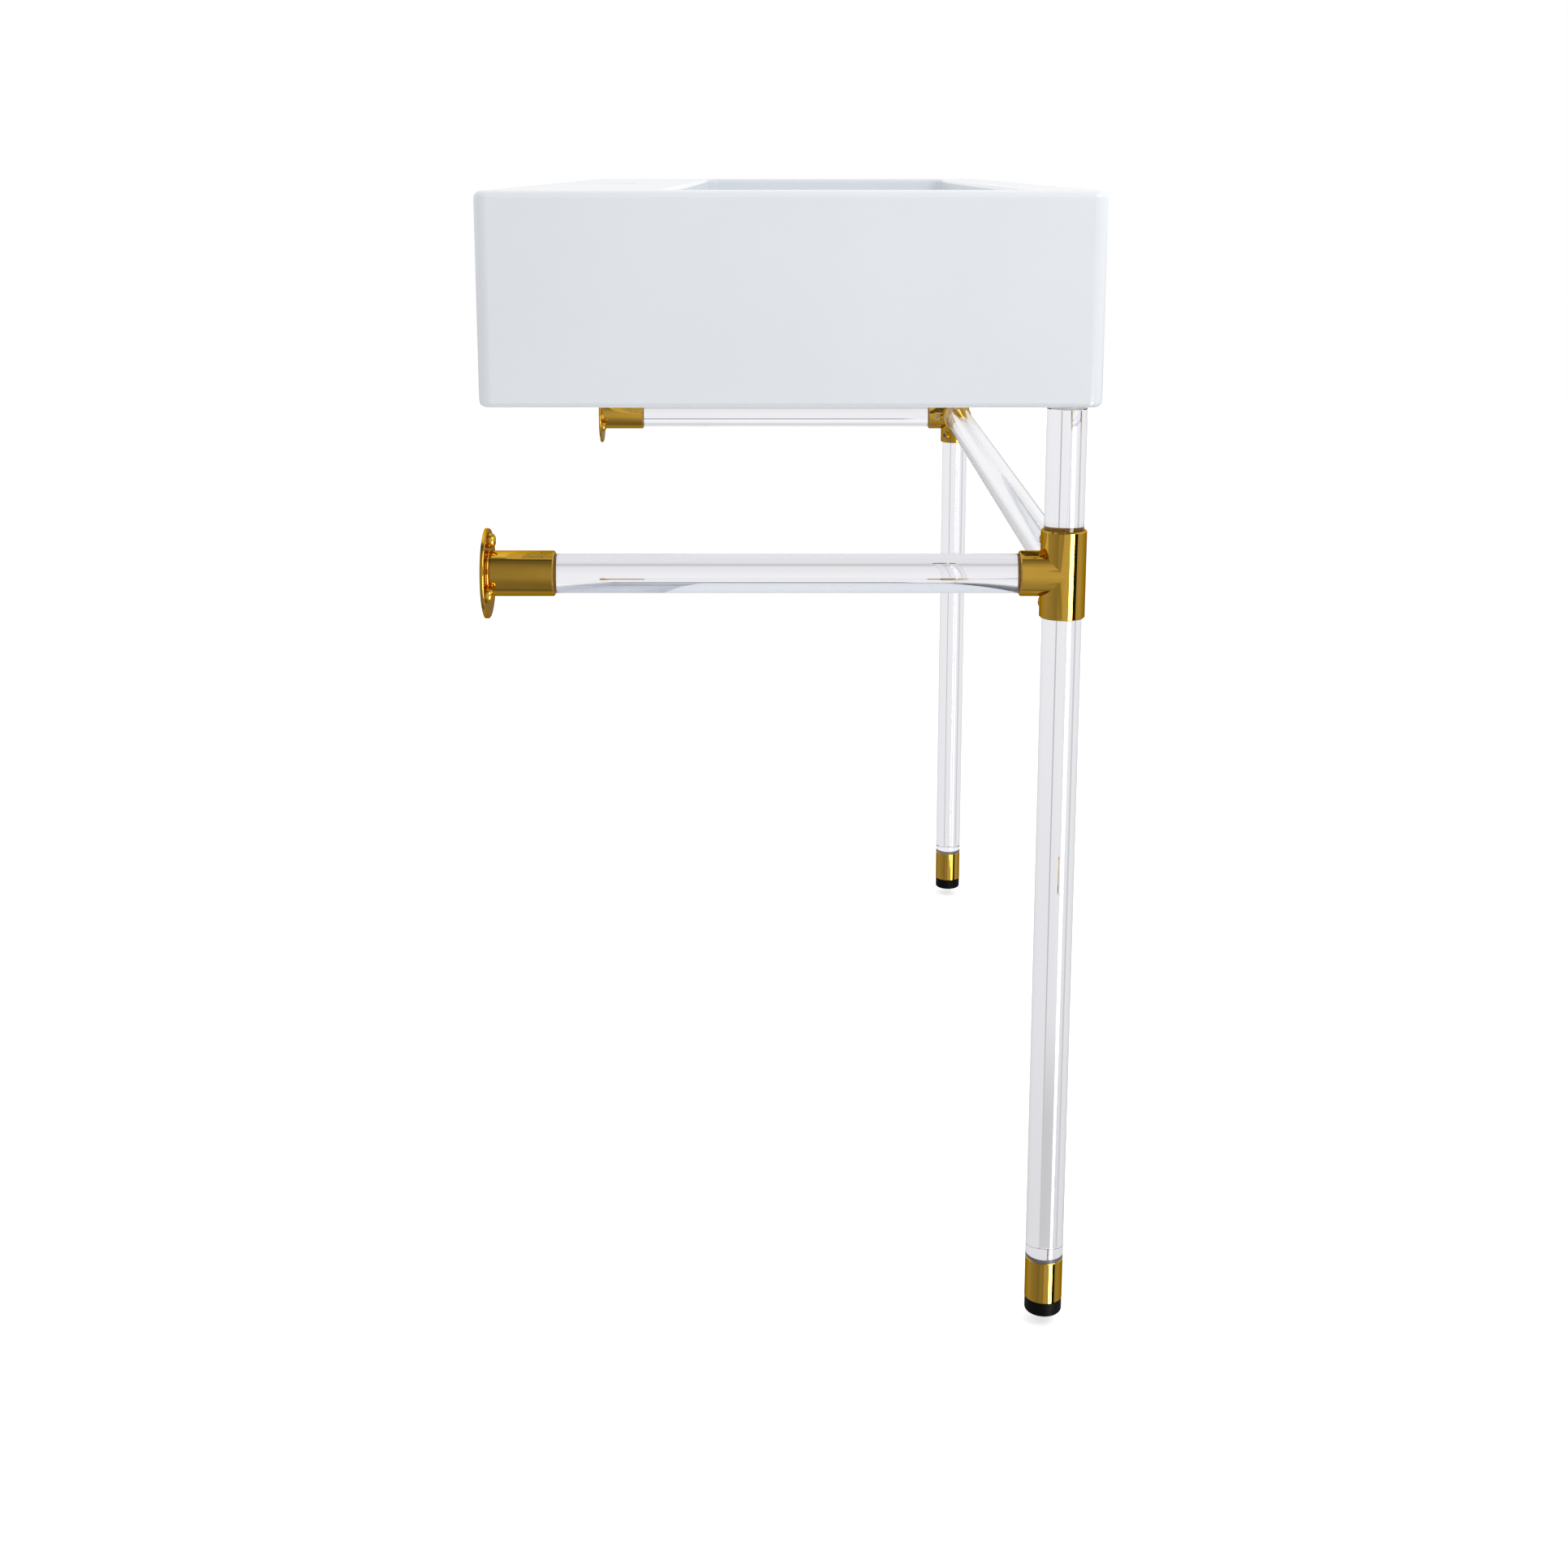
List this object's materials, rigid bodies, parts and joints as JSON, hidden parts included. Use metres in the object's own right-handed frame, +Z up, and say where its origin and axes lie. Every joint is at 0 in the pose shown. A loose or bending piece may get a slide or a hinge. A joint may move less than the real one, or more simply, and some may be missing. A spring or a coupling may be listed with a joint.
{
  "type": "console sink with legs",
  "caption": "Rectangular ceramic trough basin with a faucet deck, held on a wall and on clear acrylic legs with brass corner tees, rails, wall flanges and levelling feet.",
  "frame": {"origin": "on the floor, under the middle of the whole object's box", "axes": "+X to the right seen from the front, -Y to the front, +Y to the wall, +Z up"},
  "size_m": [1.0466, 0.457, 0.889],
  "materials": {
    "ceramic": "gloss",
    "acrylic": "polished",
    "brass": "polished",
    "screw_steel": "satin",
    "foot_rubber": "matte",
    "gasket_grey": "satin",
    "cushion_clear": "satin"
  },
  "bodies": {
    "root": {"basin": "ceramic", "front_rail": "acrylic", "left_upper_rod": "acrylic", "left_lower_rod": "acrylic", "left_side_rail": "acrylic", "left_corner_tee": "brass", "left_tee_set_screws": "screw_steel", "left_wall_flange": "brass", "left_flange_screws": "brass", "left_flange_set_screw": "screw_steel", "left_leg_ferrule": "brass", "left_ferrule_gasket": "gasket_grey", "left_leg_cushion": "cushion_clear", "right_upper_rod": "acrylic", "right_lower_rod": "acrylic", "right_side_rail": "acrylic", "right_corner_tee": "brass", "right_tee_set_screws": "screw_steel", "right_wall_flange": "brass", "right_flange_screws": "brass", "right_flange_set_screw": "screw_steel", "right_leg_ferrule": "brass", "right_ferrule_gasket": "gasket_grey", "right_leg_cushion": "cushion_clear"},
    "left_foot": {"left_foot_pad": "foot_rubber"},
    "left_stem": {"left_levelling_stem": "screw_steel"},
    "right_foot": {"right_foot_pad": "foot_rubber"},
    "right_stem": {"right_levelling_stem": "screw_steel"}
  },
  "joints": [
    {"name": "left_foot_slide", "type": "slide", "parent": "root", "child": "left_foot", "axis": [0, 0, -1], "range_m": [0, 0.01]},
    {"name": "left_stem_turn", "type": "hinge", "parent": "left_foot", "child": "left_stem", "pos_m": [-0.4893, -0.20435, 0.02], "axis": [0, 0, -1], "range_deg": [0, 2400]},
    {"name": "right_foot_slide", "type": "slide", "parent": "root", "child": "right_foot", "axis": [0, 0, -1], "range_m": [0, 0.01]},
    {"name": "right_stem_turn", "type": "hinge", "parent": "right_foot", "child": "right_stem", "pos_m": [0.4893, -0.20435, 0.02], "axis": [0, 0, -1], "range_deg": [0, 2400]}
  ],
  "couplings": [
    {"joint": "left_stem_turn", "follows": "left_foot_slide", "rad_per_m": 4188.8},
    {"joint": "right_stem_turn", "follows": "right_foot_slide", "rad_per_m": 4188.8}
  ]
}
